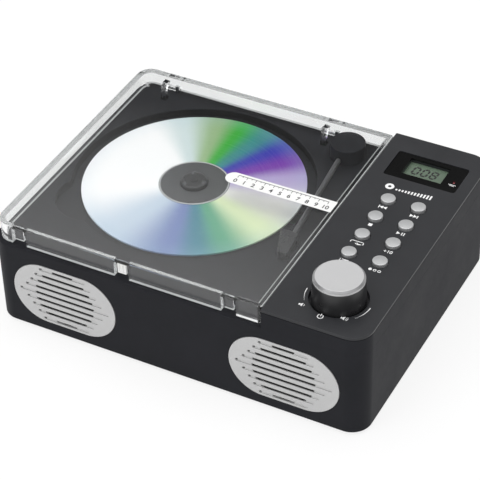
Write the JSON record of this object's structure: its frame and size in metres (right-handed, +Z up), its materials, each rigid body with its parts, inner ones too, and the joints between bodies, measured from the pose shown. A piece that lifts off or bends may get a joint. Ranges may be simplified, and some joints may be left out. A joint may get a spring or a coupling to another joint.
{
  "type": "cd player",
  "caption": "Table-top compact disc player with a clear hinged lid, a turntable-style deck, two front loudspeakers and a control panel with a large knob.",
  "frame": {"origin": "middle of the object's footprint, on the table it stands on", "axes": "+X towards the control panel's side, -Y towards the loudspeaker front, +Z up"},
  "size_m": [0.2114, 0.1607, 0.0776],
  "materials": {
    "satin_black_plastic": "satin",
    "gloss_black_plastic": "polished",
    "grey_plastic": "satin",
    "silver_finish": "silver paint",
    "clear_plastic": "clear",
    "white_plastic": "satin",
    "disc_foil": "mirrored data side",
    "steel": "plain",
    "rubber": "matte",
    "circuit_board": "lacquered",
    "cone_paper": "paper",
    "display_glass": "clear over grey",
    "lamp_red": "clear red"
  },
  "bodies": {
    "housing": {"audio_socket": "gloss_black_plastic", "bottom_cover": "satin_black_plastic", "case": "satin_black_plastic", "control_board": "circuit_board", "control_panel": "satin_black_plastic", "cover_screw_back_left": "steel", "cover_screw_back_right": "steel", "cover_screw_front_left": "steel", "cover_screw_front_right": "steel", "damper_front": "rubber", "damper_left_back": "rubber", "damper_right_back": "rubber", "display_module": "display_glass", "display_window": "gloss_black_plastic", "encoder_body": "grey_plastic", "feed_motor": "steel", "foot_back_left": "rubber", "foot_back_right": "rubber", "foot_front_left": "rubber", "foot_front_right": "rubber", "grille_left": "silver_finish", "grille_right": "silver_finish", "guide_rod_back": "steel", "guide_rod_front": "steel", "hinge_pin_left": "steel", "hinge_pin_right": "steel", "keypad": "rubber", "main_board": "circuit_board", "mechanism_frame": "grey_plastic", "power_inlet": "gloss_black_plastic", "power_lamp": "lamp_red", "speaker_frame_left": "steel", "speaker_frame_right": "steel", "speaker_magnet_left": "steel", "speaker_magnet_right": "steel", "spindle_motor": "steel", "tonearm_drum": "satin_black_plastic", "tonearm_head": "satin_black_plastic", "tonearm_rod": "grey_plastic"},
    "lid": {"lid": "clear_plastic", "lid_catch": "white_plastic"},
    "turntable": {"turntable_hub": "grey_plastic", "compact_disc": "disc_foil"},
    "knob_plunger": {"encoder_plunger": "grey_plastic"},
    "knob": {"encoder_shaft": "steel", "knob_skirt": "gloss_black_plastic", "knob_cap": "silver_finish"},
    "pickup": {"pickup_sled": "grey_plastic", "pickup_lens": "clear_plastic"},
    "feed_screw": {"feed_screw": "steel"},
    "cone_left": {"speaker_cone_left": "cone_paper"},
    "cone_right": {"speaker_cone_right": "cone_paper"},
    "button_mode": {"button_mode": "silver_finish"},
    "button_next": {"button_next": "silver_finish"},
    "button_play": {"button_play": "silver_finish"},
    "button_previous": {"button_previous": "silver_finish"},
    "button_program": {"button_program": "silver_finish"},
    "button_repeat": {"button_repeat": "silver_finish"},
    "button_stop": {"button_stop": "silver_finish"},
    "button_ten_on": {"button_ten_on": "silver_finish"}
  },
  "joints": [
    {"name": "lid_hinge", "type": "hinge", "parent": "housing", "child": "lid", "pos_m": [0, 0.0763, 0.0541], "axis": [-1, 0, 0], "range_deg": [0, 75]},
    {"name": "disc_spin", "type": "hinge", "parent": "housing", "child": "turntable", "pos_m": [-0.034, 0.0083, 0.05], "axis": [0, 0, 1], "continuous": true},
    {"name": "knob_push", "type": "slide", "parent": "housing", "child": "knob_plunger", "axis": [0, 0, -1], "range_m": [0, 0.0008], "stiffness_N_per_m": 1500, "springref_m": -0.0006},
    {"name": "knob_turn", "type": "hinge", "parent": "knob_plunger", "child": "knob", "pos_m": [0.0808, -0.0556, 0.07], "axis": [0, 0, 1], "continuous": true},
    {"name": "feed_turn", "type": "hinge", "parent": "housing", "child": "feed_screw", "pos_m": [0, -0.0157, 0.038], "axis": [1, 0, 0], "range_deg": [0, 3061]},
    {"name": "pickup_slide", "type": "slide", "parent": "housing", "child": "pickup", "axis": [1, 0, 0], "range_m": [0, 0.034]},
    {"name": "cone_left_move", "type": "slide", "parent": "housing", "child": "cone_left", "axis": [0, 1, 0], "range_m": [-0.0005, 0.0005], "stiffness_N_per_m": 1500},
    {"name": "cone_right_move", "type": "slide", "parent": "housing", "child": "cone_right", "axis": [0, 1, 0], "range_m": [-0.0005, 0.0005], "stiffness_N_per_m": 1500},
    {"name": "button_mode_press", "type": "slide", "parent": "housing", "child": "button_mode", "axis": [0, 0, -1], "range_m": [0, 0.0008], "stiffness_N_per_m": 1200, "springref_m": -0.0006},
    {"name": "button_next_press", "type": "slide", "parent": "housing", "child": "button_next", "axis": [0, 0, -1], "range_m": [0, 0.0008], "stiffness_N_per_m": 1200, "springref_m": -0.0006},
    {"name": "button_play_press", "type": "slide", "parent": "housing", "child": "button_play", "axis": [0, 0, -1], "range_m": [0, 0.0008], "stiffness_N_per_m": 1200, "springref_m": -0.0006},
    {"name": "button_previous_press", "type": "slide", "parent": "housing", "child": "button_previous", "axis": [0, 0, -1], "range_m": [0, 0.0008], "stiffness_N_per_m": 1200, "springref_m": -0.0006},
    {"name": "button_program_press", "type": "slide", "parent": "housing", "child": "button_program", "axis": [0, 0, -1], "range_m": [0, 0.0008], "stiffness_N_per_m": 1200, "springref_m": -0.0006},
    {"name": "button_repeat_press", "type": "slide", "parent": "housing", "child": "button_repeat", "axis": [0, 0, -1], "range_m": [0, 0.0008], "stiffness_N_per_m": 1200, "springref_m": -0.0006},
    {"name": "button_stop_press", "type": "slide", "parent": "housing", "child": "button_stop", "axis": [0, 0, -1], "range_m": [0, 0.0008], "stiffness_N_per_m": 1200, "springref_m": -0.0006},
    {"name": "button_ten_on_press", "type": "slide", "parent": "housing", "child": "button_ten_on", "axis": [0, 0, -1], "range_m": [0, 0.0008], "stiffness_N_per_m": 1200, "springref_m": -0.0006}
  ],
  "couplings": [
    {"joint": "feed_turn", "follows": "pickup_slide", "rad_per_m": 1570.8}
  ]
}
